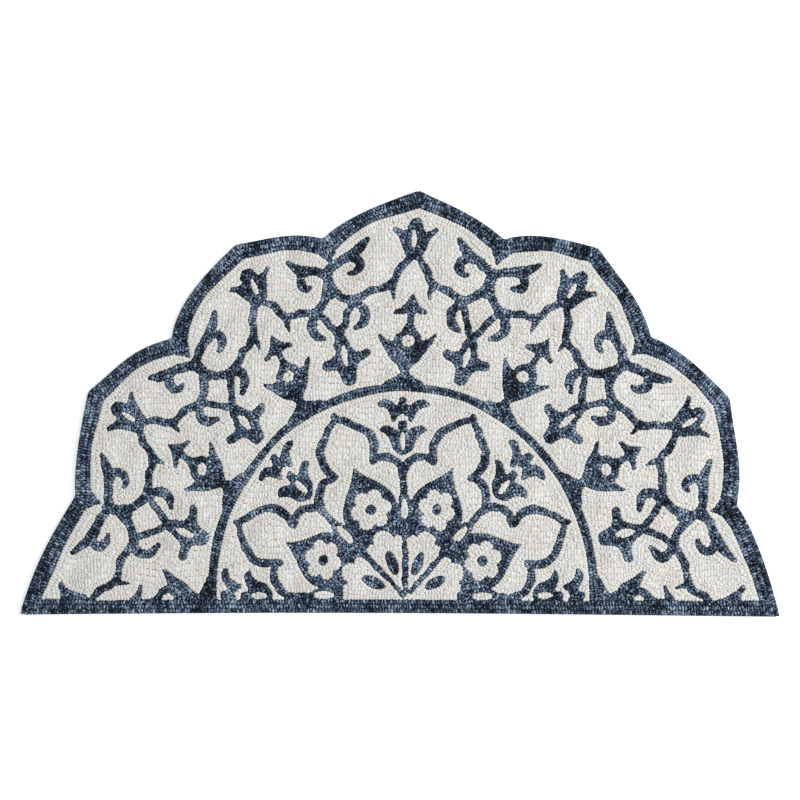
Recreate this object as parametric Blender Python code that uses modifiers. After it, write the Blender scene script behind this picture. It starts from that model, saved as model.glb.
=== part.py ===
# Half-round hooked rug with a scalloped, pointed edge.
# One flat piece: foundation cloth with hooked wool loops, navy border loops right at the edge.
# Metres, +Z up. The rug lies flat on z = 0, pile up, straight edge towards -Y, and its origin is
# the middle of the underside's bounding rectangle.
import bpy
import bmesh
from math import atan2, cos, hypot, log, pi, sin

for ob in list(bpy.data.objects):
    bpy.data.objects.remove(ob, do_unlink=True)

MM = 0.001
WIDTH = 1.219               # a 48 inch half-round rug, along X
THICKNESS = 0.010           # foundation and backing 3 mm, loop pile 7 mm
EDGE_ROUND = 0.0035         # how far the border loops round over at the rim
EDGE_STEPS = 3
TIP_ROUND = 0.005           # plan radius at the points and at the two long corners
NOTCH_ROUND = 0.003         # plan radius where two scallops meet
TIP_STEPS = 3
SIDE_STEPS = 12             # straight runs along one scallop side
RUG_COLOUR = (0.075, 0.115, 0.18, 1.0)

# The edge, clockwise from the left end of the straight side. x and y are millimetres from the
# middle of the straight side. bulge is how far the side that starts there swells out past a
# straight line, in millimetres, and peak is where along it the swelling is greatest.
#    corner          x       y     bulge  peak
EDGE = [
    ("left_end",  -609.3,    3.5,    8.8, 0.45),
    ("notch_1",   -521.3,  193.9,    5.6, 0.40),
    ("point_1",   -500.6,  361.4,   11.4, 0.60),
    ("notch_2",   -366.8,  446.6,   15.2, 0.40),
    ("point_2",   -263.1,  597.7,    8.2, 0.61),
    ("notch_3",   -123.3,  606.8,    8.8, 0.40),
    ("point_3",     30.6,  684.1,    6.4, 0.60),
    ("notch_4",    167.0,  605.0,   11.2, 0.40),
    ("point_4",    318.9,  590.7,    8.8, 0.62),
    ("notch_5",    403.1,  448.0,    8.8, 0.40),
    ("point_5",    528.1,  349.8,    8.0, 0.64),
    ("notch_6",    538.9,  178.4,    7.7, 0.39),
    ("right_end",  608.5,    0.2,   -4.2, 0.55),
]


def side_points(start, end, bulge, peak):
    """One side from corner to corner, swelling by bulge, without its last point."""
    (ax, ay), (bx, by) = start, end
    length = hypot(bx - ax, by - ay)
    ux, uy = (bx - ax) / length, (by - ay) / length
    power = log(0.5) / log(peak)
    points = []
    for i in range(SIDE_STEPS):
        f = i / SIDE_STEPS
        out = bulge * sin(pi * f ** power)
        points.append((ax + ux * length * f - uy * out, ay + uy * length * f + ux * out))
    return points


def rounded(before, corner, after, radius):
    """The few points that round one corner off."""
    reach = 1.2 * radius
    ends = []
    for other in (before, after):
        length = hypot(other[0] - corner[0], other[1] - corner[1])
        ends.append(tuple(c + (o - c) * reach / length for c, o in zip(corner, other)))
    (ax, ay), (bx, by) = ends
    points = []
    for i in range(TIP_STEPS + 1):
        t = i / TIP_STEPS
        points.append(tuple((1 - t) ** 2 * a + 2 * t * (1 - t) * c + t * t * b
                            for a, c, b in zip((ax, ay), corner, (bx, by))))
    return points


def outline():
    """The rug's edge in metres, counter-clockwise or clockwise as the table runs, centred."""
    sides = []
    for row, following in zip(EDGE, EDGE[1:] + EDGE[:1]):
        name, x, y, bulge, peak = row
        sides.append(side_points((x, y), following[1:3], bulge, peak))
    points = []
    for k, side in enumerate(sides):
        radius = (NOTCH_ROUND if "notch" in EDGE[k][0] else TIP_ROUND) / MM
        points += rounded(sides[k - 1][-1], side[0], side[1], radius)
        points += side[1:]
    low_x, high_x = min(p[0] for p in points), max(p[0] for p in points)
    low_y, high_y = min(p[1] for p in points), max(p[1] for p in points)
    scale = WIDTH / (high_x - low_x)
    return [((x - (low_x + high_x) / 2) * scale, (y - (low_y + high_y) / 2) * scale)
            for x, y in points]


def flat_solid(name, points, thickness):
    """A closed slab with the outline's shape, from z = 0 up to thickness."""
    curve = bpy.data.curves.new(name + "_outline", "CURVE")
    curve.dimensions = "2D"
    curve.fill_mode = "BOTH"
    curve.extrude = thickness / 2
    spline = curve.splines.new("POLY")
    spline.points.add(len(points) - 1)
    for point, (x, y) in zip(spline.points, points):
        point.co = (x, y, 0, 1)
    spline.use_cyclic_u = True
    drawn = bpy.data.objects.new(name + "_outline", curve)
    bpy.context.scene.collection.objects.link(drawn)
    bpy.context.view_layer.update()
    mesh = bpy.data.meshes.new_from_object(drawn.evaluated_get(
        bpy.context.evaluated_depsgraph_get()))
    bpy.data.objects.remove(drawn, do_unlink=True)
    shell = bmesh.new()
    shell.from_mesh(mesh)
    bmesh.ops.remove_doubles(shell, verts=shell.verts, dist=0.00001)
    bmesh.ops.translate(shell, verts=shell.verts, vec=(0, 0, thickness / 2))
    bmesh.ops.recalc_face_normals(shell, faces=shell.faces)
    # only the upper rim is rounded: the underside stays flat to its edge
    weight = shell.edges.layers.float.new("bevel_weight_edge")
    for edge in shell.edges:
        rim = all(v.co.z > thickness * 0.99 for v in edge.verts)
        walls = [f for f in edge.link_faces if abs(f.normal.z) < 0.5]
        if rim and len(walls) == 1:
            edge[weight] = 1.0
    shell.to_mesh(mesh)
    shell.free()
    mesh.name = name
    return bpy.data.objects.new(name, mesh)


def fabric(name, colour, roughness):
    material = bpy.data.materials.new(name)
    material.use_nodes = True
    shader = material.node_tree.nodes["Principled BSDF"]
    shader.inputs["Base Color"].default_value = colour
    shader.inputs["Roughness"].default_value = roughness
    shader.inputs["Metallic"].default_value = 0.0
    return material


parts = bpy.data.collections.new("hooked_rug")
bpy.context.scene.collection.children.link(parts)

rug = flat_solid("rug", outline(), THICKNESS)
parts.objects.link(rug)
rug.data.materials.clear()
rug.data.materials.append(fabric("rug_wool", RUG_COLOUR, 0.95))

rounding = rug.modifiers.new("rim", "BEVEL")
rounding.limit_method = "WEIGHT"
rounding.width = EDGE_ROUND
rounding.segments = EDGE_STEPS
rounding.profile = 0.5
rounding.use_clamp_overlap = True
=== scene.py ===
# Looks of the half-round hooked rug: navy and ivory wool loops, row by row, on a backed cloth.
# Everything is in millimetres until a mesh is made, with the rug's middle as the origin.
from math import ceil, hypot, log, pi, radians, sin

import bpy
import numpy as np
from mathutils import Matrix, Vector
from mathutils.geometry import delaunay_2d_cdt


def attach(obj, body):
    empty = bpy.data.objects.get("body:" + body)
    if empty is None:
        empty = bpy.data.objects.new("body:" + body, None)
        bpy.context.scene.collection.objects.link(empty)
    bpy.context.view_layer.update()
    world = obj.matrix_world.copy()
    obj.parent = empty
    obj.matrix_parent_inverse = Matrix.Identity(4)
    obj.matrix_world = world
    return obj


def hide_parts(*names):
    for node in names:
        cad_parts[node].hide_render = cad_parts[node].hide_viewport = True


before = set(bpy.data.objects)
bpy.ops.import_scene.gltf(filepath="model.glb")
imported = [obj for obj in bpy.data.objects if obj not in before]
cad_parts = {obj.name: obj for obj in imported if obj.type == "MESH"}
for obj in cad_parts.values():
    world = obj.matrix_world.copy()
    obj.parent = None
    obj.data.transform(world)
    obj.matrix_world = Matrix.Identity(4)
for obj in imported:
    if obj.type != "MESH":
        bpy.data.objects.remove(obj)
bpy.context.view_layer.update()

MM = 0.001

# ---------------------------------------------------------------- sizes, in millimetres
WIDTH = 1219.0
CELL = 1.0                    # working grid
U = 1.604                     # one drawing unit of the design
LOOP_LONG = 7.2               # a loop across its row, in the navy
GROUND_LONG = 9.6             # and in the ground, where the loops stand in straight columns
LOOP_WIDE = 4.81              # along its row
BAND_ROWS = 3
PILE_TOP = 9.5
PILE_SHOULDER = 7.0           # where a loop is widest
CLOTH_TOP = 3.4               # foundation cloth with its backing
ROOT = 3.0                    # how deep the loops go

# ---------------------------------------------------------------- camera first
lens, sensor, across = 135.0, 36.0, 800 * U * MM
camera_data = bpy.data.cameras.new("camera")
camera_data.lens = lens
camera_data.sensor_width = sensor
camera_data.clip_end = 100
camera = bpy.data.objects.new("camera", camera_data)
bpy.context.scene.collection.objects.link(camera)
camera.location = (0, 3.5 * U * MM, across * lens / sensor + 0.008)
bpy.context.scene.camera = camera

# ---------------------------------------------------------------- the outline
#    corner          x       y     bulge  peak
EDGE = [
    ("left_end",  -609.3,    3.5,    8.8, 0.45),
    ("notch_1",   -521.3,  193.9,    5.6, 0.40),
    ("point_1",   -500.6,  361.4,   11.4, 0.60),
    ("notch_2",   -366.8,  446.6,   15.2, 0.40),
    ("point_2",   -263.1,  597.7,    8.2, 0.61),
    ("notch_3",   -123.3,  606.8,    8.8, 0.40),
    ("point_3",     30.6,  684.1,    6.4, 0.60),
    ("notch_4",    167.0,  605.0,   11.2, 0.40),
    ("point_4",    318.9,  590.7,    8.8, 0.62),
    ("notch_5",    403.1,  448.0,    8.8, 0.40),
    ("point_5",    528.1,  349.8,    8.0, 0.64),
    ("notch_6",    538.9,  178.4,    7.7, 0.39),
    ("right_end",  608.5,    0.2,   -4.2, 0.55),
]
SIDE_STEPS, TIP_STEPS = 12, 3
TIP_ROUND, NOTCH_ROUND, END_ROUND = 5.0, 3.0, 2.5


def side_points(start, end, bulge, peak):
    """One side from corner to corner, swelling by bulge, without its last point."""
    (ax, ay), (bx, by) = start, end
    length = hypot(bx - ax, by - ay)
    ux, uy = (bx - ax) / length, (by - ay) / length
    power = log(0.5) / log(peak)
    points = []
    for i in range(SIDE_STEPS):
        f = i / SIDE_STEPS
        out = bulge * sin(pi * f ** power)
        points.append((ax + ux * length * f - uy * out, ay + uy * length * f + ux * out))
    return points


def rounded(before, corner, after, radius):
    """The few points that round one corner off."""
    reach = 1.2 * radius
    ends = []
    for other in (before, after):
        length = hypot(other[0] - corner[0], other[1] - corner[1])
        ends.append(tuple(c + (o - c) * reach / length for c, o in zip(corner, other)))
    (ax, ay), (bx, by) = ends
    points = []
    for i in range(TIP_STEPS + 1):
        t = i / TIP_STEPS
        points.append(tuple((1 - t) ** 2 * a + 2 * t * (1 - t) * c + t * t * b
                            for a, c, b in zip((ax, ay), corner, (bx, by))))
    return points


def outline():
    """The rug's edge and its named corners, centred, clockwise from the left end."""
    sides = []
    for row, following in zip(EDGE, EDGE[1:] + EDGE[:1]):
        name, x, y, bulge, peak = row
        sides.append(side_points((x, y), following[1:3], bulge, peak))
    points = []
    for k, side in enumerate(sides):
        radius = NOTCH_ROUND if "notch" in EDGE[k][0] else END_ROUND if "end" in EDGE[k][0] else TIP_ROUND
        points += rounded(sides[k - 1][-1], side[0], side[1], radius)
        points += side[1:]
    points = np.array(points)
    low, high = points.min(0), points.max(0)
    scale = WIDTH / (high - low)[0]
    corners = np.array([row[1:3] for row in EDGE])
    return (points - (low + high) / 2) * scale, (corners - (low + high) / 2) * scale


def inset(points, by):
    """The rug's edge drawn in by a few millimetres."""
    way = np.roll(points, -1, 0) - np.roll(points, 1, 0)
    normal = np.stack([way[:, 1], -way[:, 0]], -1)
    normal /= np.hypot(*normal.T)[:, None]
    return points + normal * by


RIM, CORNERS = outline()
# the pile's own edge stays a little inside the cut, save along the straight side
draw_in = 0.9 * np.clip((RIM[:, 1:] - RIM[:, 1].min() - 5) / 40, 0, 1) * np.clip((520 - RIM[:, :1]) / 120, -0.6, 1)
bottom_side = (RIM[:, 1:] - RIM[:, 1].min() < 4) & (np.abs(RIM[:, :1]) < 600)
RIM = inset(RIM, np.where(bottom_side, -1.3 * np.clip((-RIM[:, :1] - 150) / 300, 0, 1), draw_in))

# ---------------------------------------------------------------- the design
# A half medallion: everything is drawn in a regular frame of rays and rings, each motif as half
# a shape, and then set down by place(), which holds the frame's hand-made unevenness.
RING, NOTCH, POINT = 200.0, 361.0, 395.0
RAYS = [-30, 0, 15, 30, 45, 60, 75, 90, 105, 120, 135, 150, 165, 180, 210]
OUT = [-2.5, -2.5, -1.4, -2.4, 0.7, -1.0, 0.6, -0.5, 0.1, -4.1, -1.0, 4.7, 10.8, 19.1, 19.1]
ROUND = [-8.4, -8.4, 4.2, 1.8, -0.3, -3.6, -5.7, -8.6, -0.5, -10.5, -0.1, -6.0, -10.9, 6.3, 6.3]


def hermite(x, xs, ys):
    """Smooth interpolation through a table."""
    xs, ys = np.asarray(xs, float), np.asarray(ys, float)
    m = np.gradient(ys, xs)
    k = np.clip(np.searchsorted(xs, x) - 1, 0, len(xs) - 2)
    h = xs[k + 1] - xs[k]
    t = np.clip((x - xs[k]) / h, 0, 1)
    return ((2 * t**3 - 3 * t**2 + 1) * ys[k] + (t**3 - 2 * t**2 + t) * h * m[k]
            + (-2 * t**3 + 3 * t**2) * ys[k + 1] + (t**3 - t**2) * h * m[k + 1])


def place(p):
    """Regular medallion units to drawing units about the rug's middle."""
    p = np.asarray(p, float)
    r = np.hypot(p[..., 0], p[..., 1])
    a = np.arctan2(p[..., 1], p[..., 0])
    deg = np.degrees(a)
    deg = np.where(deg < -90, deg + 360, deg)
    t = (r - RING) / (POINT - RING)
    w = np.clip(t, 0, 1)
    cx = 3.0 + 7.5 * w
    cy = -193.0 - 12.0 * w
    ax = np.where(t < 0, 192 * r / RING, 192 + (371.3 - 192) * t)
    ay = np.where(t < 0, 210 * r / RING, 210 + (418.5 - 210) * t)
    out = hermite(deg, RAYS, OUT) * w
    rnd = hermite(deg, RAYS, ROUND) * w
    ca, sa = np.cos(a), np.sin(a)
    return np.stack([cx + (ax + out) * ca - rnd * sa, cy + (ay + out) * sa + rnd * ca], -1)


def wobble(p, seed, size, reach):
    """Slow drift of a drawn line, so that repeats are not identical."""
    g = np.random.default_rng(seed)
    d = np.zeros_like(p)
    for k in range(6):
        f = g.normal(0, 1 / size, 2)
        ph = g.uniform(0, 2 * np.pi, 2)
        amp = g.normal(0, reach / 2.0, 2)
        s = p @ f
        d += amp * np.stack([np.sin(s + ph[0]), np.sin(s + ph[1])], -1)
    return p + d


def smooth(points, sharp=(), closed=False, step=1.2):
    """A smooth line through points. The indices in sharp keep a corner."""
    P = np.asarray(points, float)
    n = len(P)
    out = []
    last = n if closed else n - 1
    for i in range(last):
        p1, p2 = P[i], P[(i + 1) % n]
        p0 = P[i - 1] if (closed or i > 0) else 2 * p1 - p2
        p3 = P[(i + 2) % n] if (closed or i + 2 < n) else 2 * p2 - p1
        if i in sharp:
            p0 = 2 * p1 - p2
        if (i + 1) % n in sharp:
            p3 = 2 * p2 - p1
        m = max(2, int(np.hypot(*(p2 - p1)[:2]) / step) + 1)
        t = np.arange(m)[:, None] / m
        out.append(0.5 * ((2 * p1) + (-p0 + p2) * t + (2 * p0 - 5 * p1 + 4 * p2 - p3) * t**2
                          + (-p0 + 3 * p1 - 3 * p2 + p3) * t**3))
    if not closed:
        out.append(P[-1:])
    return np.concatenate(out)


def turn(p, degrees):
    """A ray's own frame (x across it, y outwards) to the medallion's frame."""
    a = np.radians(degrees - 90)
    c, s = np.cos(a), np.sin(a)
    return np.stack([p[..., 0] * c - p[..., 1] * s, p[..., 0] * s + p[..., 1] * c], -1)


class Sheet:
    """A grid of signed distances to what is drawn in navy, in drawing units, negative inside."""

    def __init__(self, w, h):
        self.cell = CELL / U
        self.nx = int(w / self.cell) + 1
        self.ny = int(h / self.cell) + 1
        self.x0, self.y0 = -w / 2, -h / 2
        self.d = np.full((self.ny, self.nx), 50.0)

    def window(self, pts, pad):
        lo, hi = pts.min(0) - pad, pts.max(0) + pad
        i0 = max(0, int((lo[0] - self.x0) / self.cell))
        i1 = min(self.nx, int((hi[0] - self.x0) / self.cell) + 2)
        j0 = max(0, int((lo[1] - self.y0) / self.cell))
        j1 = min(self.ny, int((hi[1] - self.y0) / self.cell) + 2)
        if i1 <= i0 or j1 <= j0:
            return None
        X = self.x0 + np.arange(i0, i1) * self.cell
        Y = self.y0 + np.arange(j0, j1) * self.cell
        return (slice(j0, j1), slice(i0, i1)), X, Y

    def line(self, pts, half, cut=False):
        """A line of varying half width through pts."""
        pad = 10 + half.max()
        for k in range(0, len(pts) - 1, 12):
            seg = pts[k:k + 13]
            hw = half[k:k + 13]
            win = self.window(seg, pad)
            if win is None:
                continue
            where, X, Y = win
            gx, gy = np.meshgrid(X, Y)
            best = self.d[where] if not cut else -self.d[where]
            for a, b, ha, hb in zip(seg[:-1], seg[1:], hw[:-1], hw[1:]):
                ab = b - a
                t = np.clip(((gx - a[0]) * ab[0] + (gy - a[1]) * ab[1]) / max(ab @ ab, 1e-9), 0, 1)
                d = np.hypot(gx - a[0] - t * ab[0], gy - a[1] - t * ab[1]) - (ha + (hb - ha) * t)
                best = np.minimum(best, d)
            self.d[where] = best if not cut else -best

    def shape(self, pts, cut=False):
        """A filled outline."""
        win = self.window(pts, 12)
        if win is None:
            return
        where, X, Y = win
        gx, gy = np.meshgrid(X, Y)
        inside = np.zeros(gx.shape, bool)
        dist = np.full(gx.shape, 1e9)
        for a, b in zip(pts, np.roll(pts, -1, 0)):
            ab = b - a
            t = np.clip(((gx - a[0]) * ab[0] + (gy - a[1]) * ab[1]) / max(ab @ ab, 1e-9), 0, 1)
            dist = np.minimum(dist, (gx - a[0] - t * ab[0])**2 + (gy - a[1] - t * ab[1])**2)
            if a[1] != b[1]:
                cross = (a[1] > gy) != (b[1] > gy)
                inside ^= cross & (gx < (b[0] - a[0]) * (gy - a[1]) / (b[1] - a[1]) + a[0])
        d = np.sqrt(dist) * np.where(inside, -1, 1)
        self.d[where] = np.maximum(self.d[where], -d) if cut else np.minimum(self.d[where], d)


# Half motifs, (across the ray, outwards from the middle), and lines, with their width third.
BUD = [(0, 366.5), (4.2, 365.5), (8.0, 359.5), (8.6, 354.5), (14.0, 354.5), (21.0, 358.0), (24.0, 355.0),
       (18.0, 349.0), (15.0, 342.5), (11.8, 335.5), (8.6, 329.0), (0, 326.0)]
BUD_SHARP = (0, 3, 6)
BUD_SLIT = [(0, 355.5), (2.2, 350.5), (2.9, 344.5), (2.2, 339.5), (0, 336.5)]
VINE = [(1.5, 331.0, 8.5), (9.0, 321.5, 7.2), (14.0, 315.0, 8.4), (16.0, 307.5, 7.0), (20.5, 300.5, 8.4),
        (29.0, 296.5, 7.0), (37.0, 295.0, 8.2), (45.0, 289.5, 7.6), (53.5, 286.0, 8.6), (63.0, 287.2, 8.8),
        (71.0, 291.5, 8.6), (77.5, 299.0, 8.4)]
VINE_SPUR = [(20.0, 300.5, 7.5), (18.8, 292.5, 5.0), (17.8, 287.0, 2.4)]
STEM = [(0, 301.0, 7.0), (0, 306.0, 9.0), (0.3, 312.0, 9.4), (0, 319.0, 10.5), (0, 326.5, 5.5)]
LEAF = [(0.0, 321.5, 9.0), (8.0, 327.0, 9.2), (17.0, 330.5, 9.0), (26.0, 333.0, 10.4), (34.0, 337.0, 9.8), (40.5, 341.8, 7.6),
        (45.5, 346.0, 4.4)]
LEAF_CURL = [(28.0, 332.0, 8.4), (33.5, 326.5, 9.4), (33.5, 319.5, 9.0), (28.5, 315.0, 7.2), (23.5, 315.0, 4.4)]
CELL_TOP = [(22.0, 288.5, 7.6), (14.5, 280.5, 7.0), (8.0, 270.0, 6.8), (0.0, 258.5, 8.2), (-4.0, 250.0, 8.0)]
HOOK = [(21.0, 288.5, 8.0), (27.5, 283.0, 9.0), (30.2, 274.5, 9.6), (26.8, 266.5, 9.0), (18.5, 262.0, 5.4)]
TULIP = [(0.0, 257.0), (5.2, 252.0), (8.6, 246.5), (11.5, 241.6), (17.0, 239.6), (24.0, 239.6), (27.0, 235.6),
         (23.5, 231.0), (16.0, 229.4), (10.6, 226.0), (8.0, 219.0), (5.6, 212.0), (0.0, 209.6)]
TULIP_SLIT = [(0.0, 250.0), (3.0, 244.0), (3.6, 238.0), (2.4, 231.5), (0.0, 227.5)]
ARROW = [(0.0, 292.0), (4.5, 284.5), (10.0, 278.0), (16.0, 274.6), (15.4, 271.0), (9.0, 271.6), (3.8, 271.0),
         (3.6, 263.0), (6.5, 257.5), (11.5, 252.0), (13.5, 246.5), (19.5, 247.5), (27.0, 253.0), (27.6, 249.5),
         (22.0, 240.5), (14.0, 227.5), (6.5, 219.5), (4.2, 215.0), (8.0, 210.5), (18.0, 205.0), (22.0, 198.0),
         (0.0, 198.0)]
ARROW_SHARP = (0, 3, 12, 13, 21)
EYE = (0.0, 245.0, 6.0, 5.6)
PETAL = [(0.0, 186.5, 4.0), (0.8, 182.0, 6.2), (9.0, 176.5, 7.0), (18.0, 167.5, 7.6), (25.0, 158.0, 8.4),
         (26.5, 148.0, 8.8), (24.5, 138.5, 8.2), (20.5, 130.8, 7.0)]
PETAL_2 = [(20.5, 130.8, 7.0), (28.5, 131.2, 7.6), (36.5, 127.0, 8.0), (42.5, 119.0, 8.0), (45.6, 109.8, 8.0)]
SPUR = [(20.5, 130.8, 6.0), (18.6, 129.4, 3.0)]
DROP = [(0.0, 132.0), (4.5, 124.0), (10.5, 116.5), (18.5, 107.5), (24.5, 98.5), (27.4, 89.0), (27.0, 78.0),
        (21.0, 68.0), (0.0, 64.0)]
ROSE = (0.0, 89.0)
FAN = [(0.0, 6.0), (5.4, 20.0), (12.0, 36.5), (17.8, 49.5), (17.4, 55.0), (13.0, 58.0), (10.0, 57.0), (8.4, 62.4),
       (3.4, 66.0), (0.0, 66.2)]
SEED = (0.0, 33.5, 5.2, 12.2)
POD = (0.0, 82.5, 3.9, 10.6)
CROWN = [(0.0, 190.8), (3.4, 190.0), (4.6, 184.8), (7.0, 182.6), (12.5, 186.6), (20.5, 188.2), (26.6, 184.6),
         (25.2, 181.0), (18.0, 179.2), (13.6, 174.0), (10.6, 167.0), (7.4, 167.0), (4.2, 171.8), (0.0, 174.0)]
CROWN_SHARP = (3, 6, 10)
INNER = [(0.0, 166.8), (3.8, 165.8), (4.4, 159.6), (6.6, 157.4), (12.6, 160.8), (20.0, 161.8), (25.0, 157.6),
         (18.4, 153.2), (13.8, 147.2), (11.2, 140.2), (6.2, 135.0), (0.0, 133.0)]
INNER_SHARP = (3, 6)
INNER_SLIT = [(0.0, 156.0), (2.6, 151.5), (3.2, 145.5), (2.3, 140.5), (0.0, 138.0)]
AXIS = [(0, 119, 8.0), (0, 108, 6.6), (0, 98, 7.6), (0, 92, 12.0), (0, 82, 17.0), (0, 72, 14.0)]
FOOT = [(-57, -181), (-14, -185.5), (-4, -188.8), (2.5, -195.5), (9, -188.8), (19, -185.5), (57, -181), (57, -199), (-57, -199)]
FAN_RIB = [(0, 5, 3.4), (0, 30, 3.3), (0, 55, 3.9), (0, 72, 6.2)]
SPIKE = [(11.0, 10.0), (14.5, 7.8), (18.5, 4.8), (26.0, 1.4)]   # depth from a notch, half width


def both(half):
    """A closed outline from its right half, listed from the top middle to the bottom middle."""
    half = np.asarray(half, float)
    left = half[::-1] * (-1, 1)
    if half[-1, 0] == 0:
        left = left[1:]
    if half[0, 0] == 0:
        left = left[:-1]
    return np.concatenate([half, left])


def draw(w, h):
    """The whole design on a sheet of w by h drawing units."""
    g = np.random.default_rng(4)
    sheet = Sheet(w, h)
    count = [0]

    def put(p, ray, seed, amount=1.0):
        q = wobble(place(turn(p, ray)), 11, 34.0, 1.5)
        return wobble(wobble(q, 100 + seed, 13.0, 0.7 * amount), 300 + seed, 2.2, 0.42 * amount)

    def line(table, ray, side=1, cut=False):
        count[0] += 1
        s = smooth(np.asarray(table, float) * (side, 1, 1))
        wid = s[:, 2] * (1 + 0.06 * np.sin(np.arange(len(s)) * 0.21 + count[0]) + 0.05 * np.sin(np.arange(len(s)) * 0.57))
        sheet.line(put(s[:, :2], ray, count[0]), wid / 2, cut)

    def shape(table, ray, sharp=(), cut=False, lean=0.0):
        count[0] += 1
        half = np.asarray(table, float)
        p = both(half)
        corners = set(sharp)
        for s in sharp:
            if half[s, 0] != 0:
                corners.add((len(p) - s) if half[0, 0] == 0 else (len(p) - 1 - s))
        p = smooth(p, corners, closed=True)
        p = p + np.stack([lean * (p[:, 1] - p[:, 1].mean()), 0 * p[:, 1]], -1)
        sheet.shape(put(p, ray, count[0], 0.8), cut)

    def oval(o, ray, cut=False):
        count[0] += 1
        a = np.linspace(0, 2 * np.pi, 40, endpoint=False)
        x, y, rx, ry = o
        sheet.shape(put(np.stack([x + rx * np.sin(a), y + ry * np.cos(a)], -1), ray, count[0], 0.5), cut)

    for ray in range(0, 181, 30):
        lean = g.normal(0, 0.04)
        shape(BUD, ray, BUD_SHARP, lean=lean)
        for side in (-1, 1):
            line(VINE, ray, side)
            line(VINE_SPUR, ray, side)
        shape(ARROW, ray, ARROW_SHARP, lean=lean * 0.4)
    for ray in range(-15, 196, 30):
        line(STEM, ray)
        for side in (-1, 1):
            line(LEAF, ray, side)
            line(LEAF_CURL, ray, side)
            line(CELL_TOP, ray, side)
            line(HOOK, ray, side)
        shape(TULIP, ray)
    for ray in range(0, 181, 30):
        shape(BUD_SLIT, ray, (0,), cut=True)
        oval(EYE, ray, cut=True)
    for ray in range(-15, 196, 30):
        shape(TULIP_SLIT, ray, (0, 4), cut=True)
    # the ring
    a = np.linspace(-8, 188, 400)
    ring = np.stack([RING * np.cos(np.radians(a)), RING * np.sin(np.radians(a))], -1)
    q = wobble(wobble(place(ring), 11, 34.0, 1.5), 77, 60.0, 0.8)
    sheet.line(q, 4.1 + 0.8 * np.clip((a - 158) / 22, 0, 1) + 0.35 * np.sin(a * 0.13) + 0.25 * np.sin(a * 0.31 + 1))
    # inside the ring
    petals = [22.5, 67.5, 112.5, 157.5]
    buds = [0, 45, 90, 135, 180]
    a = np.linspace(0, 360, 120, endpoint=False)
    sheet.shape(place(np.stack([79 * np.cos(np.radians(a)), 79 * np.sin(np.radians(a))], -1)))
    for ray in petals:
        for side in (-1, 1):
            line(PETAL, ray, side)
            line(PETAL_2, ray, side)
            line(SPUR, ray, side)
        shape(DROP, ray, (0,))
    for ray in buds:
        line(AXIS, ray)
        shape(CROWN, ray, CROWN_SHARP)
        shape(INNER, ray, INNER_SHARP)
        shape(INNER_SLIT, ray, (0, 4), cut=True)
    for ray in petals:
        x, y = ROSE
        for k in range(6):
            t = np.radians(60 * k + ray * 3)
            oval((x + 12.7 * np.sin(t), y + 12.7 * np.cos(t), 7.1, 7.1), ray, cut=True)
        oval((x, y, 11.5, 11.5), ray, cut=True)
        shape(FAN, ray, (0,), cut=True)
    sheet.shape(np.array(FOOT), cut=True)
    for ray in petals:
        x, y = ROSE
        oval((x, y, 5.1, 4.8), ray)
        oval(SEED, ray)
    for ray in buds:
        oval(POD, ray, cut=True)
        if 0 < ray < 180:
            line(FAN_RIB, ray)
    # the border runs in to a spike at each notch
    for k, (name, *rest) in enumerate(EDGE):
        if "notch" in name:
            here, before, after = (CORNERS[i] / U for i in (k, k - 1, k + 1))
            out = sum((o - here) / np.hypot(*(o - here)) for o in (before, after))
            inward = -out / np.hypot(*out)
            s = smooth([(here[0] + inward[0] * d, here[1] + inward[1] * d, wide) for d, wide in SPIKE])
            sheet.line(s[:, :2], s[:, 2])
    return sheet


sheet = draw(768.0, 435.0)
NX, NY, X0, Y0 = sheet.nx, sheet.ny, sheet.x0 * U, sheet.y0 * U
GX, GY = np.meshgrid(X0 + np.arange(NX) * CELL, Y0 + np.arange(NY) * CELL)


def sample(field, p):
    """Reads a grid between its points."""
    gx = np.clip((p[..., 0] - X0) / CELL, 0, NX - 1.001)
    gy = np.clip((p[..., 1] - Y0) / CELL, 0, NY - 1.001)
    i, j = gx.astype(int), gy.astype(int)
    a, b = gx - i, gy - j
    return ((field[j, i] * (1 - a) + field[j, i + 1] * a) * (1 - b)
            + (field[j + 1, i] * (1 - a) + field[j + 1, i + 1] * a) * b)


def edge_distance(points, reach=34):
    """Signed distance to the rug's edge, negative on the rug, true within reach of the edge."""
    near = np.full((NY, NX), float(reach)**2)
    inside = np.zeros((NY, NX), bool)
    for a, b in zip(points, np.roll(points, -1, 0)):
        ab = b - a
        lo, hi = np.minimum(a, b) - reach, np.maximum(a, b) + reach
        i0, j0 = (int(max(0, v)) for v in ((lo[0] - X0) / CELL, (lo[1] - Y0) / CELL))
        i1, j1 = int((hi[0] - X0) / CELL) + 2, int((hi[1] - Y0) / CELL) + 2
        x, y = GX[j0:j1, i0:i1], GY[j0:j1, i0:i1]
        t = np.clip(((x - a[0]) * ab[0] + (y - a[1]) * ab[1]) / (ab @ ab), 0, 1)
        d = (x - a[0] - t * ab[0])**2 + (y - a[1] - t * ab[1])**2
        near[j0:j1, i0:i1] = np.minimum(near[j0:j1, i0:i1], d)
        if a[1] != b[1]:
            rows = (a[1] > GY[:, 0]) != (b[1] > GY[:, 0])
            at = (b[0] - a[0]) * (GY[rows, 0] - a[1]) / (b[1] - a[1]) + a[0]
            inside[rows] ^= GX[rows] < at[:, None]
    return np.sqrt(near) * np.where(inside, -1, 1)


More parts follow.
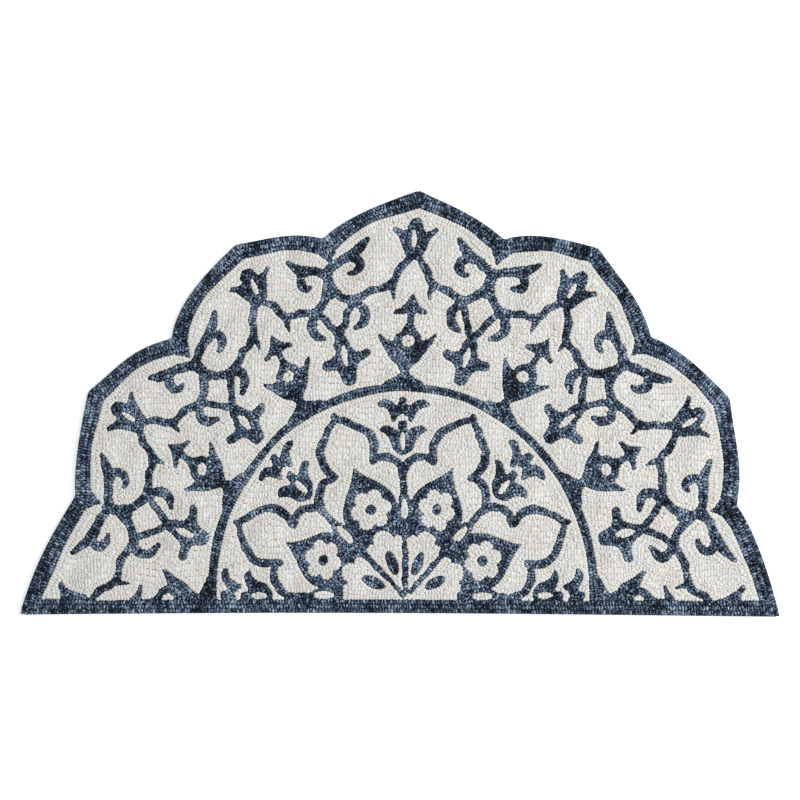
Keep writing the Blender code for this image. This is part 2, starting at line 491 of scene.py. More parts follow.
def reach_from(mask, reach=45):
    """Distance in cells from each cell to the nearest one in mask, up to reach."""
    d = np.where(mask, 0, reach + 1).astype(np.float32)
    for j in range(1, NY):
        np.minimum(d[j], d[j - 1] + 1, out=d[j])
    for j in range(NY - 2, -1, -1):
        np.minimum(d[j], d[j + 1] + 1, out=d[j])
    d *= d
    out = d.copy()
    for s in range(1, reach + 1):
        np.minimum(out[:, s:], d[:, :-s] + s * s, out=out[:, s:])
        np.minimum(out[:, :-s], d[:, s:] + s * s, out=out[:, :-s])
    return np.minimum(np.sqrt(out), reach)


edge = edge_distance(RIM)
corner_gap = np.full((NY, NX), 1e9)
for (name, *rest), (x, y) in zip(EDGE, CORNERS):
    if "end" not in name:
        corner_gap = np.minimum(corner_gap, np.hypot(GX - x, GY - y))
band = U * (13.4 + 3.4 * np.exp(-(corner_gap / (40 * U))**2) + 1.5 * np.clip((GX - 300) / 60, 0, 1))
for x, y, more, size in ((-350, -168, 4.3, 34), (354, -166, 2.0, 42)):      # wider towards the two ends
    band += U * more * np.exp(-((GX / U - x)**2 + (GY / U - y)**2) / size**2)
band += U * np.where(GY > Y0 + 60, 0.45 * np.sin(GX / 29 + GY / 41) + 0.4 * np.sin(GX / 13 - GY / 16 + 1.0), 0.0)
band = np.where(GY < Y0 + 60, np.maximum(band, 13.6 * U), band)
drawn = np.minimum(sheet.d * U, -(edge + band))      # negative in navy
navy = drawn < 0
into_navy = (reach_from(~navy) - 0.5) * CELL
into_ivory = (reach_from(navy) - 0.5) * CELL
side = np.where(navy, -into_navy, into_ivory)
side = np.where(np.abs(drawn) < 1.2, drawn, side)    # exact near the line, true depth away from it


def contours(field, level):
    """Lines of equal value, as closed runs of points, by marching over the cells."""
    f = field - level
    low = f < 0
    h = low[:, 1:] != low[:, :-1]
    v = low[1:] != low[:-1]
    id_h = np.full((NY, NX), -1)
    id_v = np.full((NY, NX), -1)
    jh, ih = np.nonzero(h)
    jv, iv = np.nonzero(v)
    id_h[jh, ih] = np.arange(len(jh))
    id_v[jv, iv] = np.arange(len(jv)) + len(jh)
    th = f[jh, ih] / (f[jh, ih] - f[jh, ih + 1])
    tv = f[jv, iv] / (f[jv, iv] - f[jv + 1, iv])
    points = np.concatenate([np.stack([X0 + (ih + th) * CELL, Y0 + jh * CELL], -1),
                             np.stack([X0 + iv * CELL, Y0 + (jv + tv) * CELL], -1)])
    links = [[] for _ in points]
    four = np.stack([id_h[:-1, :-1], id_v[:-1, 1:], id_h[1:, :-1], id_v[:-1, :-1]], -1)
    busy = (four >= 0).sum(-1)
    for j, i in zip(*np.nonzero(busy)):
        met = [k for k in four[j, i] if k >= 0]
        if len(met) == 4:      # a saddle: join by the corner that the middle agrees with
            middle = f[j:j + 2, i:i + 2].mean() < 0
            b, r, t, l = four[j, i]
            pairs = [(b, r), (t, l)] if low[j, i] == middle else [(b, l), (t, r)]
        elif len(met) == 2:
            pairs = [tuple(met)]
        else:
            continue
        for a, b in pairs:
            links[a].append(b)
            links[b].append(a)
    seen = np.zeros(len(points), bool)
    lines = []
    for start in range(len(points)):
        if seen[start] or not links[start]:
            continue
        run, here, before = [], start, -1
        while not seen[here]:
            seen[here] = True
            run.append(here)
            ways = [k for k in links[here] if k != before]
            if not ways:
                break
            before, here = here, ways[0]
        if len(run) > 6:
            lines.append(points[run])
    return lines


def ring_mean(x, n):
    """Running mean over 2n+1 neighbours of a closed run."""
    out = np.zeros_like(x)
    for k in range(-n, n + 1):
        out += np.roll(x, k, 0)
    return out / (2 * n + 1)


def even(points, step):
    """A closed line with evenly spaced points."""
    ring = np.concatenate([points, points[:1]])
    run = np.concatenate([[0], np.cumsum(np.hypot(*np.diff(ring, axis=0).T))])
    n = max(4, round(run[-1] / step))
    at = np.arange(n) * run[-1] / n
    return np.stack([np.interp(at, run, ring[:, k]) for k in (0, 1)], -1)


def spans(ok, closed):
    """Runs of indices where ok holds, joined across the end of a closed line."""
    n = len(ok)
    if ok.all():
        return [(np.arange(n), closed)]
    start = int(np.flatnonzero(~ok)[0]) if closed else 0
    order = (np.arange(n) + start) % n
    turns = np.flatnonzero(np.diff(np.concatenate([[0], ok[order].astype(int), [0]])))
    return [(order[a:b], False) for a, b in zip(turns[::2], turns[1::2])]


dice = np.random.default_rng(29)


def drift(x, y, size, seed, waves=12):
    """Slow unevenness over the rug, about 0, with a spread of 1."""
    g = np.random.default_rng(seed)
    total = 0
    for _ in range(waves):
        a, f, ph = g.uniform(0, 2 * pi), 2 * pi / size * g.uniform(0.5, 1.7), g.uniform(0, 2 * pi)
        total = total + np.sin(f * (x * np.cos(a) + y * np.sin(a)) + ph)
    return total / np.sqrt(waves / 2)


class Rows:
    """Loops that might be hooked, in the order in which they are tried."""

    def __init__(self):
        self.parts = []

    def add(self, at, across, long, wide, streak, kind):
        n = len(at)
        full = [np.broadcast_to(np.asarray(v, float), (n,)) for v in (long, wide, streak, kind)]
        self.parts.append(np.column_stack([at, across] + full))

    def along(self, points, closed, outward, long, wide, kind):
        """One row of loops along a line. outward is the side that a loop's long way points to."""
        ring = np.concatenate([points, points[:1]]) if closed else points
        if len(ring) < 2:
            ring = np.concatenate([points, points + 1e-3])
        run = np.concatenate([[0], np.cumsum(np.hypot(*np.diff(ring, axis=0).T))])
        total = run[-1]
        n = max(1, round(total / wide))
        at = (np.arange(n) + 0.5) * total / n
        pick = np.searchsorted(run, at).clip(1, len(ring) - 1) - 1
        read = lambda s: np.stack([np.interp(s, run, ring[:, k]) for k in (0, 1)], -1)
        here = read(at)
        way = read(np.minimum(at + 1.6, total)) - read(np.maximum(at - 1.6, 0))
        across = np.stack([way[:, 1], -way[:, 0]], -1)
        hint = outward[pick % len(outward)]
        small = np.hypot(*across.T) < 0.3
        across[small] = hint[small]
        across *= np.sign((across * hint).sum(1) + 1e-9)[:, None]
        across /= np.hypot(*across.T)[:, None]
        lengths = np.broadcast_to(np.asarray(long, float), (len(points),))
        waves = sum(np.sin(2 * pi * at / lam + dice.uniform(0, 2 * pi)) for lam in (8.5, 19, 47))
        self.add(here, across, lengths[pick % len(points)], total / n if n > 1 else wide, waves / 1.22, kind)

    def all(self):
        return np.concatenate(self.parts)


# kinds of row
RIM_ROW, BORDER, NAVY, IVORY = 0, 1, 2, 3

tries = Rows()
# the border: rows side by side, following the edge
depth_share = -edge / band
for k in range(BAND_ROWS):
    for chain in contours(depth_share, (k + 0.5) / BAND_ROWS):
        chain = even(chain, 1.0)
        out = sample(edge, chain)
        grad = np.stack([sample(edge, chain + (0.7, 0)) - sample(edge, chain - (0.7, 0)),
                         sample(edge, chain + (0, 0.7)) - sample(edge, chain - (0, 0.7))], -1)
        near = out > -30
        for run, closed in spans(near, True):
            if len(run) > 3:
                tries.along(chain[run], closed, grad[run], sample(band, chain[run]) / BAND_ROWS,
                            LOOP_WIDE * (0.97 if k == 0 else 1.0), RIM_ROW if k == 0 else BORDER)


def half_width(line, normal, depth, reach=40.0):
    """How far in from a line the middle of its area lies."""
    t = np.arange(0.5, reach, 0.5)
    d = sample(depth, line[:, None] + normal[:, None] * t[None, :, None])
    late = d < t - 1.0
    first = np.where(late.any(1), late.argmax(1), len(t) - 1)
    return np.where(np.arange(len(t)) <= first[:, None], d, 0).max(1)


chains = []
for chain in contours(drawn, 0.0):
    chain = even(ring_mean(even(chain, 1.0), 1), 1.0)
    if len(chain) < 8:
        continue
    way = np.roll(chain, -2, 0) - np.roll(chain, 2, 0)
    normal = np.stack([way[:, 1], -way[:, 0]], -1)
    normal /= np.maximum(np.hypot(*normal.T), 1e-6)[:, None]
    if sample(side, chain + normal * 1.6).mean() > 0:
        normal = -normal
    chains.append((chain, normal))        # normal points into the navy

later = []
for chain, normal in chains:
    deep = half_width(chain, normal, into_navy)
    deep = ring_mean(deep, min(4, len(chain) // 3))
    rows = np.maximum(1, np.round(2 * deep / LOOP_LONG))
    pitch = np.clip(2 * deep / rows, 3.4, 8.6)
    many = np.ceil(rows / 2)
    for k in range(int(min(many.max(), 7))):
        off = (k + 0.5) * pitch
        q = chain + normal * off[:, None]
        ok = (k < many) & (sample(into_navy, q) > off - 0.9) & (sample(edge, q) < -0.5)
        for run, closed in spans(ok, True):
            entry = (q[run], closed, normal[run], pitch[run], LOOP_WIDE, NAVY)
            if k == 0:
                tries.along(*entry)
            else:
                later.append((k, entry))
for chain, normal in chains:
    deep = half_width(chain, -normal, into_ivory)
    deep = ring_mean(deep, min(4, len(chain) // 3))
    rows = np.maximum(1, np.round(2 * deep / LOOP_LONG))
    pitch = np.where(deep < 9.0, np.clip(2 * deep / rows, 3.4, 8.4), 7.4)
    off = pitch / 2
    q = chain - normal * off[:, None]
    ok = sample(into_ivory, q) > off - 0.9
    for run, closed in spans(ok, True):
        tries.along(q[run], closed, -normal[run], pitch[run], LOOP_WIDE, IVORY)
for k, entry in sorted(later, key=lambda item: item[0]):
    tries.along(*entry)

# the ground: rows straight across and columns straight up, with a little waver
columns = np.arange(int(-2 * X0 / LOOP_WIDE)) * LOOP_WIDE + X0 + 1.5
for j in range(int(700 / GROUND_LONG)):
    base = -346 + j * GROUND_LONG
    x = columns + 1.1 * drift(columns, base + 0 * columns, 260, 8) + dice.normal(0, 0.28, len(columns))
    rise = lambda x: base + 2.6 * drift(x, base + 0 * x, 170, 9) + 0.5 * drift(x, base + 0 * x, 33, 10)
    slope = (rise(x + 1) - rise(x - 1)) / 2
    y = rise(x) + dice.normal(0, 0.75, len(x))
    p = np.stack([x, y], -1)
    ok = (sample(into_ivory, p) > 3.2) & (sample(edge, p) < -4)
    waves = sum(np.sin(2 * pi * x / lam + dice.uniform(0, 2 * pi)) for lam in (14, 31, 77)) / 1.22
    tries.add(p[ok], np.stack([-slope, np.ones_like(x)], -1)[ok], GROUND_LONG, LOOP_WIDE, waves[ok], IVORY)

# ---------------------------------------------------------------- which loops fit
FINE = 0.9
FX, FY = int(-2 * X0 / FINE) + 8, int(-2 * Y0 / FINE) + 8
AT_X, AT_Y, UP_X, UP_Y, LONG, WIDE, STREAK, KIND = range(8)


def footprint(loops, us, vs):
    """Fine-grid places under each loop, at shares us of its length and vs of its width."""
    at, along = loops[:, 0:2], loops[:, 2:4]
    over = np.stack([-along[:, 1], along[:, 0]], -1)
    u, v = (w.ravel() for w in np.meshgrid(us, vs))
    p = (at[:, None] + along[:, None] * (u[None] * loops[:, 4:5])[..., None]
         + over[:, None] * (v[None] * loops[:, 5:6])[..., None])
    i = ((p[..., 0] - X0) / FINE + 0.5).astype(int).clip(0, FX - 1)
    j = ((p[..., 1] - Y0) / FINE + 0.5).astype(int).clip(0, FY - 1)
    return j * FX + i


def hook(loops, cover, spare):
    """Keeps, in order, the loops whose ground is nearly bare."""
    test = footprint(loops, np.linspace(-0.38, 0.38, 7), np.linspace(-0.33, 0.33, 4))
    stamp = footprint(loops, np.linspace(-0.47, 0.47, 13), np.linspace(-0.44, 0.44, 7))
    kept = []
    for i in range(len(loops)):
        if cover[test[i]].sum() <= spare:
            cover[stamp[i]] = 1
            kept.append(i)
    return loops[kept]


fine_x, fine_y = np.meshgrid(X0 + np.arange(FX) * FINE, Y0 + np.arange(FY) * FINE)
fine = np.stack([fine_x, fine_y], -1)
fine_edge = sample(edge, fine)
fine_side = sample(side, fine)
land = (fine_edge < -0.5).ravel()
cell_navy = (fine_side < 0).ravel()


def fill(cover, sizes):
    """Short loops for the ground that the rows leave bare."""
    added = []
    for long, wide, spare in sizes:
        bare = cover.reshape(FY, FX) == 0
        room = np.zeros((FY, FX))
        shrink = bare.copy()
        for _ in range(4):
            room += shrink
            inner = shrink.copy()
            inner[1:] &= shrink[:-1]; inner[:-1] &= shrink[1:]
            inner[:, 1:] &= shrink[:, :-1]; inner[:, :-1] &= shrink[:, 1:]
            shrink = inner
        j, i = np.nonzero(room >= 2)
        p = fine[j, i]
        p = p[np.argsort(-room[j, i] + dice.uniform(0, 0.9, len(j)))]
        s = sample(side, p)
        grad = np.stack([sample(side, p + (1, 0)) - sample(side, p - (1, 0)),
                         sample(side, p + (0, 1)) - sample(side, p - (0, 1))], -1)
        by_edge = sample(edge, p) > -24
        grad_edge = np.stack([sample(edge, p + (1, 0)) - sample(edge, p - (1, 0)),
                              sample(edge, p + (0, 1)) - sample(edge, p - (0, 1))], -1)
        across = np.where(by_edge[:, None], grad_edge, -grad)
        upright = (s > 9) | (np.hypot(*across.T) < 0.2)
        across[upright] = (0, 1)
        across /= np.hypot(*across.T)[:, None]
        kind = np.where(s < 0, np.where(by_edge, BORDER, NAVY), IVORY)
        more = np.column_stack([p, across, np.full(len(p), long), np.full(len(p), wide),
                                dice.normal(0, 1, len(p)), kind])
        added.append(hook(more, cover, spare))
    return np.concatenate(added)


def share_out(loops, reach=9):
    """Gives each bit of ground to the nearest loop of its own colour, measured in that loop's sizes."""
    best = np.full(FY * FX, 12.0)
    owner = np.full(FY * FX, -1)
    i = ((loops[:, AT_X] - X0) / FINE + 0.5).astype(int).clip(reach, FX - 1 - reach)
    j = ((loops[:, AT_Y] - Y0) / FINE + 0.5).astype(int).clip(reach, FY - 1 - reach)
    dx, dy = X0 + i * FINE - loops[:, AT_X], Y0 + j * FINE - loops[:, AT_Y]
    ux, uy = loops[:, UP_X], loops[:, UP_Y]
    ia, ib = 2 / loops[:, LONG], 2 / loops[:, WIDE]
    is_navy = loops[:, KIND] < IVORY
    for b in range(-reach, reach + 1):
        for a in range(-reach, reach + 1):
            x, y = dx + a * FINE, dy + b * FINE
            d = ((x * ux + y * uy) * ia) ** 2 + ((y * ux - x * uy) * ib) ** 2
            cell = (j + b) * FX + i + a
            ok = (d < best[cell]) & (cell_navy[cell] == is_navy) & land[cell]
            best[cell[ok]] = d[ok]
            owner[cell[ok]] = np.flatnonzero(ok)
    return best, owner


def settle(loops, times, firm):
    """Lets the loops shift and stretch until each has its own ground and none is crowded."""
    for _ in range(times):
        best, owner = share_out(loops)
        mine = np.flatnonzero(owner >= 0)
        who, n = owner[mine], len(loops)
        count = np.bincount(who, minlength=n)
        size = np.maximum(count, 1)
        x, y = fine_x.ravel()[mine], fine_y.ravel()[mine]
        cx, cy = np.bincount(who, x, n) / size, np.bincount(who, y, n) / size
        rx, ry = x - cx[who], y - cy[who]
        u = rx * loops[who, UP_X] + ry * loops[who, UP_Y]
        v = ry * loops[who, UP_X] - rx * loops[who, UP_Y]
        long = 3.6 * np.sqrt(np.bincount(who, u * u, n) / size + 0.07)
        wide = 3.6 * np.sqrt(np.bincount(who, v * v, n) / size + 0.07)
        move = np.where((loops[:, KIND] == RIM_ROW) | (count == 0), 0.0, firm)
        loops[:, AT_X] += move * (cx - loops[:, AT_X])
        loops[:, AT_Y] += move * (cy - loops[:, AT_Y])
        some = (count > 0) & (loops[:, KIND] != RIM_ROW)
        loops[some, LONG] += 0.7 * (long.clip(3.2, 10.6) - loops[:, LONG])[some]
        loops[some, WIDE] += 0.7 * (wide.clip(2.8, 6.4) - loops[:, WIDE])[some]
        loops = loops[(count * FINE**2 > 7.0) | (loops[:, KIND] == RIM_ROW)]
    return loops


cover = (fine_edge > -0.6).astype(np.uint8).ravel()
first = tries.all()
loops = hook(first, cover, 5)
rows_kept = len(loops)
loops = np.concatenate([loops, fill(cover, ((6.4, 4.6, 4), (4.8, 4.2, 5), (3.8, 3.8, 6)))])
filled = len(loops) - rows_kept
loops = settle(loops, 4, 0.75)
best, owner = share_out(loops)
cover = ((best < 1.75) | ~land).astype(np.uint8)
more = fill(cover, ((4.4, 3.8, 6),))
loops = settle(np.concatenate([loops, more]), 2, 0.6)
best, owner = share_out(loops)
print("loops tried", len(first), "rows", rows_kept, "filled in", filled, len(more), "left", len(loops),
      "thin", round(float((best[land] > 2.0).mean()), 3))

# ---------------------------------------------------------------- one mesh of many loops
RING_U = np.array([0.5, 0.38, 0.0, -0.38, -0.5, -0.38, 0.0, 0.38])
RING_V = np.array([0.0, 0.40, 0.5, 0.40, 0.0, -0.40, -0.5, -0.40])


def strip(a, b):
    """The faces between two rings of eight."""
    return [f for i in range(8) for f in ((a + i, a + (i + 1) % 8, b + (i + 1) % 8), (a + i, b + (i + 1) % 8, b + i))]


# the root's cap, then ring 0 (root), ring 8 (widest) and ring 16 (shoulder), and the ridge's two ends
FACES = np.array([(0, i + 1, i) for i in range(1, 7)] + strip(0, 8) + strip(8, 16)
                 + [(16, 17, 24), (17, 18, 24), (18, 25, 24), (18, 19, 25), (19, 20, 25),
                    (20, 21, 25), (21, 22, 25), (22, 24, 25), (22, 23, 24), (23, 16, 24)])
POINTS = 26
# each loop's own patch of the map: opened out round its ridge, with its root cap in a strip below
OPEN = np.concatenate([np.stack([0.5 + k * RING_U, 0.56 + m * RING_V], -1)
                       for k, m in ((0.95, 0.82), (0.74, 0.64), (0.56, 0.40))] + [[(0.61, 0.56), (0.39, 0.56)]])
CAP = np.stack([0.5 + 0.9 * RING_U, 0.06 + 0.09 * RING_V], -1)
PATCH = np.concatenate([CAP[FACES[:6]].reshape(-1, 2), OPEN[FACES[6:]].reshape(-1, 2)])


def pile(name, some, material):
    """Joins loops into one mesh, each a closed bean of yarn rooted in the cloth."""
    n = len(some)
    g = np.random.default_rng(len(name) + n)
    at, along = some[:, 0:2], some[:, 2:4]
    rim, ivory = some[:, KIND] == RIM_ROW, some[:, KIND] == IVORY
    a = g.normal(0, 1, n) * np.where(rim, 0.06, np.where(ivory, 0.08, 0.24))
    along = np.stack([along[:, 0] * np.cos(a) - along[:, 1] * np.sin(a),
                      along[:, 0] * np.sin(a) + along[:, 1] * np.cos(a)], -1)
    over = np.stack([-along[:, 1], along[:, 0]], -1)
    long = some[:, LONG] * g.normal(1.16, 0.05, n) * np.where(ivory, 1.06, 1.0)
    inland = ivory & (sample(into_ivory, at) > 5.3)
    wide = some[:, WIDE] * g.normal(1.15, np.where(ivory, 0.03, 0.05), n) * np.where(inland, 1.52, np.where(ivory, 1.15, 1.0))
    long = np.where(rim, some[:, LONG] * 1.04, long)
    calm = np.where(ivory, 0.10, 1.0)      # the cream loops stand more evenly
    top = PILE_TOP + 0.2 * drift(at[:, 0], at[:, 1], 90, 5) + g.normal(0, 0.26, n) * calm
    top = np.minimum(top, 10.3) - 0.25 * rim
    u = np.empty((n, POINTS)); v = np.empty((n, POINTS)); z = np.empty((n, POINTS))
    for first, share, breadth, low, rough in ((0, 0.84, 0.80, None, 0), (8, 1.0, 1.0, PILE_TOP - PILE_SHOULDER, 0.05),
                                              (16, 0.84, 0.72, 0.72, 0.05)):
        these = slice(first, first + 8)
        u[:, these] = RING_U * share * g.normal(1, rough, (n, 8)) * long[:, None]
        v[:, these] = RING_V * breadth * g.normal(1, rough, (n, 8)) * wide[:, None]
        z[:, these] = ROOT if low is None else (top - low)[:, None] + g.normal(0, 0.10, (n, 8)) * calm[:, None]
        if first == 16:      # the cream yarn is loftier, and its loops press flat against each other
            v[:, these] *= np.where(ivory, 1.30, 1.0)[:, None]
            z[:, these] += np.where(ivory, 0.48, 0.0)[:, None]
    z[:, 16:21:4] -= np.where(ivory, 0.06, 0.5)[:, None]
    lean = g.normal(0, 0.05, (n, 2)) * np.where(ivory, 0.4, 1.0)[:, None]
    u[:, 24:] = (np.array([0.31, -0.31]) + lean[:, :1]) * long[:, None]
    v[:, 24:] = (lean[:, 1:] + g.normal(0, 0.03, (n, 2))) * wide[:, None]
    z[:, 24:] = top[:, None] + g.normal(0, 0.12, (n, 2)) * calm[:, None]
    # the outermost row turns down over the edge, its ends pressed square against each other
    outer = np.array([0, 1, 7])
    r = np.flatnonzero(rim)
    square = np.array([0.0, 0.46, -0.46])
    for first, z0, reach in ((0, 0.75, 0.46), (8, 4.4, 0.5), (16, 7.2, 0.39)):
        z[r[:, None], first + outer] = z0 + g.normal(0, 0.12, (len(r), 3))
        u[r[:, None], first + outer] = reach * np.array([1.0, 0.985, 0.985]) * long[r, None]
        v[r[:, None], first + outer] = square * np.array([1.0, 1.0, 0.86])[first // 8] * wide[r, None]
    u[r, 24] = 0.10 * long[r]
    inner = np.array([2, 3, 4, 5, 6, 10, 11, 12, 13, 14, 18, 19, 20, 21, 22])
    u[r[:, None], inner] = u[r[:, None], inner] * 1.3 - 0.3
    xy = at[:, None] + along[:, None] * u[..., None] + over[:, None] * v[..., None]
    co = np.concatenate([xy, z[..., None]], -1).reshape(-1, 3) * MM
    faces = (FACES[None] + (np.arange(n) * POINTS)[:, None, None]).reshape(-1, 3)

    mesh = bpy.data.meshes.new(name)
    mesh.vertices.add(len(co))
    mesh.vertices.foreach_set("co", co.astype(np.float32).ravel())
    mesh.loops.add(faces.size)
    mesh.loops.foreach_set("vertex_index", faces.astype(np.int32).ravel())
    mesh.polygons.add(len(faces))
    mesh.polygons.foreach_set("loop_start", np.arange(0, faces.size, 3, dtype=np.int32))
    mesh.update(calc_edges=True)
    mesh.shade_smooth()

    def attribute(title, kind, values, field="value"):
        mesh.attributes.new(title, kind, "POINT").data.foreach_set(field, np.ascontiguousarray(values, np.float32).ravel())

    streak = some[:, STREAK]
    # painted shade: the outermost row's tone is set lower, so the edge is darker where it turns down out of the light
    tone = 0.52 * streak + 0.55 * drift(at[:, 0], at[:, 1], 62, 3) + 0.62 * g.normal(0, 1, n) - 0.35 * rim
    attribute("tone", "FLOAT", np.repeat(tone, POINTS))
    attribute("chance", "FLOAT", np.repeat(g.uniform(0, 1, n), POINTS))
    # height runs from a loop's root (0) to its ridge (1); the material darkens the colour by it as painted shade, so
    # the lines below lower it where more painted shade is wanted
    height = np.tile(np.concatenate([np.zeros(8), np.full(8, 0.45), np.full(8, 0.85), np.ones(2)]), (n, 1))
    # painted shade: the loops' ends, where one row meets the next, get a lower height and so show as dark grooves
    # between the rows
    ends = np.array([0, 1, 3, 4, 5, 7])      # where one row meets the next
    height[:, 8 + ends] -= np.where(ivory, 0.0, 0.08)[:, None]
    height[:, 16 + ends] -= np.select([ivory, some[:, KIND] <= BORDER], [0.0, 0.15], 0.11)[:, None]
    # painted shade: the rim's outer side gets a low height, so its colour darkens where the edge turns away from the
    # light
    height[r[:, None], np.concatenate([outer, 8 + outer, 16 + outer])] = np.repeat([0.48, 0.66, 0.82], 3)
    by_ivory = np.clip(1 + sample(side, xy) / 2.2, 0, 1)      # the navy's outline lies in the cream's shadow
    height -= np.where(ivory, 0.0, 0.13)[:, None] * by_ivory
    attribute("height", "FLOAT", height)
    spread = np.concatenate([np.full(8, 1.7), np.ones(18)])
    yarn = np.stack([u * spread, v * spread, np.repeat(g.uniform(0, 400, n), POINTS).reshape(n, POINTS)], -1)
    attribute("yarn", "FLOAT_VECTOR", yarn, "vector")
    cells = ceil(n ** 0.5)
    corner = np.stack([np.arange(n) % cells, np.arange(n) // cells], -1)
    uv = (corner[:, None] + PATCH[None]) / cells
    layer = mesh.uv_layers.new(name="OFBake")
    layer.uv.foreach_set("vector", uv.astype(np.float32).ravel())

    mesh.materials.append(material)
    piece = bpy.data.objects.new(name, mesh)
    bpy.context.scene.collection.objects.link(piece)
    return piece


# ---------------------------------------------------------------- materials
def colour(text):
    """A picture colour as Blender's own linear one."""
    c = np.array([int(text[i:i + 2], 16) for i in (1, 3, 5)]) / 255
    return tuple(np.where(c <= 0.04045, c / 12.92, ((c + 0.055) / 1.055) ** 2.4)) + (1.0,)


class Finish:
    """Builds one material's nodes."""

    def __init__(self, name):
        self.material = bpy.data.materials.new(name)
        self.material.use_nodes = True
        self.tree = self.material.node_tree
        self.shader = self.tree.nodes["Principled BSDF"]

    def node(self, kind, inputs=(), **settings):
        made = self.tree.nodes.new(kind)
        for key, value in settings.items():
            setattr(made, key, value)
        for key, value in dict(inputs).items():
            if isinstance(value, bpy.types.NodeSocket):
                self.tree.links.new(value, made.inputs[key])
            else:
                made.inputs[key].default_value = value
        return made

    def read(self, name, output="Fac"):
        return self.node("ShaderNodeAttribute", attribute_name=name).outputs[output]

    def math(self, operation, *values, clamp=False):
        made = self.node("ShaderNodeMath", enumerate(values), operation=operation, use_clamp=clamp)
        return made.outputs[0]

    def noise(self, vector, scale, detail=2.0, rough=0.55, stretch=None):
        if stretch:
            vector = self.node("ShaderNodeVectorMath", {0: vector, 1: stretch}, operation="MULTIPLY").outputs[0]
        return self.node("ShaderNodeTexNoise", {"Vector": vector, "Scale": scale, "Detail": detail,
                                                "Roughness": rough}).outputs["Fac"]

    def ramp(self, fac, stops):
        made = self.node("ShaderNodeValToRGB", {"Fac": fac})
        band = made.color_ramp
        while len(band.elements) < len(stops):
            band.elements.new(0.5)
        for element, (where, c) in zip(band.elements, stops):
            element.position = where
            element.color = colour(c)
        return made.outputs["Color"]

    def mix(self, fac, a, b, blend="MIX"):
        made = self.node("ShaderNodeMix", data_type="RGBA", blend_type=blend)
        for socket, value in ((made.inputs[0], fac), (made.inputs[6], a), (made.inputs[7], b)):
            if isinstance(value, bpy.types.NodeSocket):
                self.tree.links.new(value, socket)
            else:
                socket.default_value = value
        return made.outputs[2]

    def finish(self, base, rough, bumps, sheen, sheen_tint, specular=0.25):
        links, ins = self.tree.links, self.shader.inputs
        links.new(base, ins["Base Color"])
        links.new(rough, ins["Roughness"])
        normal = None
        for height, strength, distance in bumps:
            inputs = {"Height": height, "Strength": strength, "Distance": distance}
            if normal is not None:
                inputs["Normal"] = normal
            normal = self.node("ShaderNodeBump", inputs).outputs["Normal"]
        links.new(normal, ins["Normal"])
        ins["Metallic"].default_value = 0.0
        ins["Specular IOR Level"].default_value = specular
        ins["Sheen Weight"].default_value = sheen
        ins["Sheen Roughness"].default_value = 0.45
        ins["Sheen Tint"].default_value = sheen_tint
        return self.material


def wool(name, stops, spread, heather, flecks, tints, sheen, sheen_tint, root_shade):
    """Plied heather yarn: its strands differ in tone, with painted shade down in the pile and in the twist's grooves.
    """
    f = Finish(name)
    yarn = f.read("yarn", "Vector")
    strands = f.noise(yarn, 1.0, 1.0, 0.5, (0.34, 0.62, 1.0))
    hairs = f.noise(yarn, 2.6, 2.0, 0.6, (0.6, 1.6, 1.0))
    tone = f.math("MULTIPLY_ADD", f.read("tone"), spread, 0.5)
    tone = f.math("ADD", tone, f.math("MULTIPLY", f.math("SUBTRACT", strands, 0.5), heather))
    tone = f.math("ADD", tone, f.math("MULTIPLY", f.math("SUBTRACT", hairs, 0.5), 0.35), clamp=True)
    base = f.ramp(tone, stops)
    if flecks:
        low, high, fleck = flecks
        odd = f.noise(yarn, 1.0, 0.0, 0.5, (0.60, 1.0, 1.7))
        odd = f.node("ShaderNodeMapRange", {"Value": odd, "From Min": low, "From Max": high}).outputs[0]
        base = f.mix(odd, base, colour(fleck))
    base = f.mix(1.0, base, f.ramp(f.read("chance"), tints), "MULTIPLY")
    twist = f.node("ShaderNodeTexWave", {"Vector": yarn, "Scale": 0.34, "Distortion": 2.2, "Detail": 1.0,
                                         "Detail Scale": 0.8}, bands_direction="DIAGONAL").outputs["Fac"]
    # painted shade: the twist's bands darken the colour where the bump lowers them, in the grooves between the plies
    low, ply_low = root_shade
    ply = f.math("MULTIPLY_ADD", twist, (1 - ply_low) * 1.5, ply_low, clamp=True)
    base = f.mix(1.0, base, f.node("ShaderNodeCombineColor", {"Red": ply, "Green": ply, "Blue": ply}).outputs[0], "MULTIPLY")
    # painted shade: the colour is multiplied darker down towards the roots by the height attribute, where the pile
    # lies in shadow between its loops
    down = f.node("ShaderNodeMapRange", {"Value": f.read("height"), "From Min": 0.45, "From Max": 0.97,
                                         "To Min": low, "To Max": 1.0}).outputs[0]
    base = f.mix(1.0, base, f.node("ShaderNodeCombineColor", {"Red": down, "Green": down, "Blue": down}).outputs[0], "MULTIPLY")
    rough = f.math("MULTIPLY_ADD", hairs, 0.18, 0.80, clamp=True)
    place_at = f.node("ShaderNodeTexCoord").outputs["Object"]
    fuzz = f.noise(place_at, 2600.0, 3.0, 0.7)
    return f.finish(base, rough, [(twist, 0.5, 0.0004), (hairs, 0.4, 0.0003), (fuzz, 0.35, 0.0002)],
                    sheen, sheen_tint)


